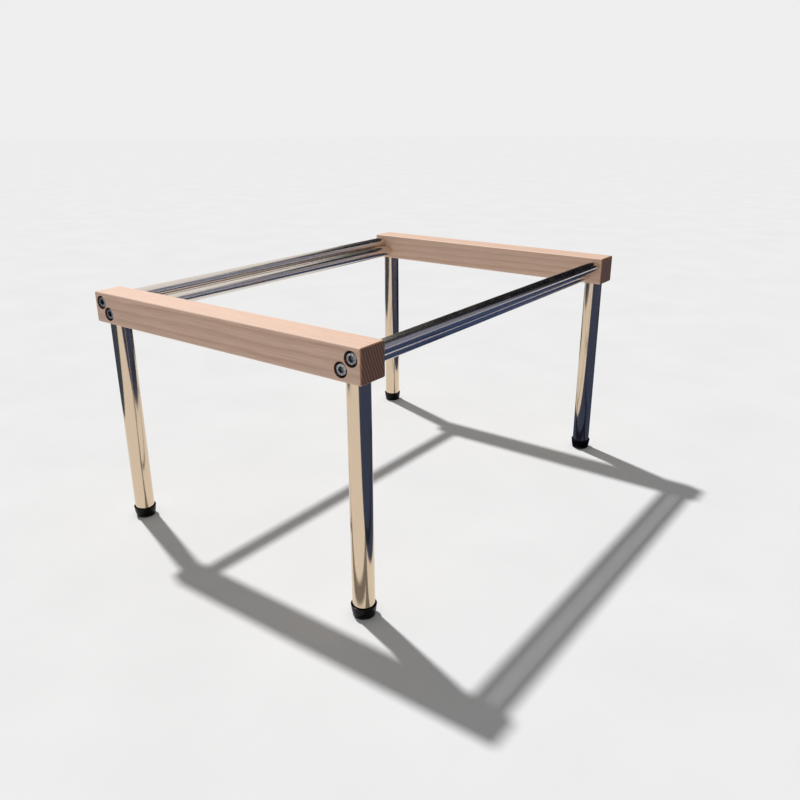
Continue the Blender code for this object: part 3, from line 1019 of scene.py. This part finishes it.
def set_out_cards():
    """Set out dark cards on the floor and upright behind, as painted shade for a shaded floor and dark
    surroundings.

    Only reflections show them: they give the tubes a dark side, and the background stays pale. The floor
    cards lie 1 or 2 mm up, clear of the floor and of each other.
    """
    # The right floor card's near edge runs along the edge of a shadow on the floor; the card is that
    # painted shadow
    right_near, right_far = plane_at(29, 0.145), plane_at(29, 1.8)
    left_near, left_far = plane_at(205, 0.66), plane_at(205, 3)
    back_near, back_far = plane_at(119, 0.55), plane_at(119, 4)
    right_wall, back_wall = plane_at(41, 3), plane_at(95, 6)
    # Colours of painted shade: the shaded floor and the dark surroundings
    cards = {
        "right_floor_card": (
            "384463", [right_near(-2, MM), right_far(-2, MM), right_far(2, MM), right_near(2, MM)],
        ),
        "back_floor_card": (
            "1C1E24",
            [back_near(-1, 2 * MM), back_far(-1, 2 * MM), back_far(0.95, 2 * MM), back_near(0.2, 2 * MM)],
        ),
        "left_floor_card": (
            "3E4A5D", [left_near(-0.9, MM), left_far(-0.9, MM), left_far(3, MM), left_near(3, MM)],
        ),
        "right_wall_card": (
            "898EA4",
            [right_wall(-0.95, 0), right_wall(-0.95, 2.1), right_wall(0.92, 2.75), right_wall(0.92, 0)],
        ),
        "back_wall_card": (
            "1C1E24",
            [
                back_wall(-4.5, 0), back_wall(-4.5, 7.3), back_wall(-0.5, 6.2), back_wall(1.5, 5.4),
                back_wall(3, 4.3), back_wall(4, 2.7), back_wall(4.6, 0.8), back_wall(4.6, 0),
            ],
        ),
    }
    for name, (code, corners) in cards.items():
        select_only()
        bpy.ops.mesh.primitive_circle_add(vertices=len(corners), fill_type="NGON", location=(0, 0, 0))
        card = bpy.context.object
        card.name = card.data.name = name
        for vertex, corner in zip(card.data.vertices, corners):
            vertex.co = corner
        card.data.materials.append(dyed_paper(f"{name}_paper", code))
        card.visible_camera = card.visible_diffuse = card.visible_shadow = False


def set_surroundings(settings):
    """Make the surroundings pale where they are seen, also in metal, with a weaker light from all round."""
    world = bpy.data.worlds.new("studio")
    world.use_nodes = True
    bpy.context.scene.world = world
    tree = world.node_tree
    path = add_node(tree, "ShaderNodeLightPath").outputs
    seen = path["Is Camera Ray"]
    for ray in ("Is Glossy Ray", "Is Transmission Ray"):
        seen = add_node(tree, "ShaderNodeMath", {0: seen, 1: path[ray]}, operation="MAXIMUM").outputs[0]
    radiance = add_node(
        tree, "ShaderNodeMix",
        {"Factor": seen, "A": rgba(grey(settings.sky)), "B": rgba(grey(settings.backdrop))},
        data_type="RGBA",
    )
    tree.links.new(radiance.outputs["Result"], tree.nodes["Background"].inputs["Color"])


def place_camera(settings):
    """Place the camera where the photograph was taken from: the front right, a little above."""
    lens = bpy.data.cameras.new("camera")
    lens.lens = settings.lens
    lens.sensor_width = SENSOR_WIDTH
    camera = bpy.data.objects.new("camera", lens)
    camera.location = CAMERA_PLACE
    camera.rotation_euler = tuple(math.radians(angle) for angle in CAMERA_TURN)
    bpy.context.scene.collection.objects.link(camera)
    bpy.context.scene.camera = camera
    bpy.context.scene.view_settings.view_transform = "Standard"


class BuildStage(bpy.types.Operator):
    """Lay the floor, set up the lamp, the cards and the surroundings, and place the camera"""

    bl_idname = "camping_table.build_stage"
    bl_label = "Build stage"

    def execute(self, context):
        settings = context.scene.camping_table.stage
        lay_floor(settings)
        hang_key_lamp(settings)
        set_out_cards()
        set_surroundings(settings)
        place_camera(settings)
        return {"FINISHED"}


OPERATORS = (ModelBeams, ModelRails, ModelScrews, ModelLegs, ModelFeet, BuildStage)


class CampingTablePanel(bpy.types.Panel):
    """Sidebar panel with every step and its settings"""

    bl_idname = "VIEW3D_PT_camping_table"
    bl_label = "Camping table"
    bl_space_type = "VIEW_3D"
    bl_region_type = "UI"
    bl_category = "Camping table"

    def draw(self, context):
        settings = context.scene.camping_table
        for step in OPERATORS:
            self.layout.operator(step.bl_idname)
        for group in (settings.timber, settings.steel, settings.screws, settings.feet, settings.stage):
            box = self.layout.box()
            for name in group.bl_rna.properties.keys():
                if name not in ("rna_type", "name"):
                    box.prop(group, name)


CLASSES = (
    TimberSettings, SteelSettings, ScrewSettings, FootSettings, StageSettings, CampingTableSettings,
    *OPERATORS, CampingTablePanel,
)


def register():
    for item in CLASSES:
        bpy.utils.register_class(item)
    bpy.types.Scene.camping_table = bpy.props.PointerProperty(type=CampingTableSettings)


def unregister():
    del bpy.types.Scene.camping_table
    for item in reversed(CLASSES):
        bpy.utils.unregister_class(item)


def main():
    register()
    bpy.ops.camping_table.model_beams()
    bpy.ops.camping_table.model_rails()
    bpy.ops.camping_table.model_screws()
    bpy.ops.camping_table.model_legs()
    bpy.ops.camping_table.model_feet()
    bpy.ops.camping_table.build_stage()


if __name__ == "__main__":
    main()
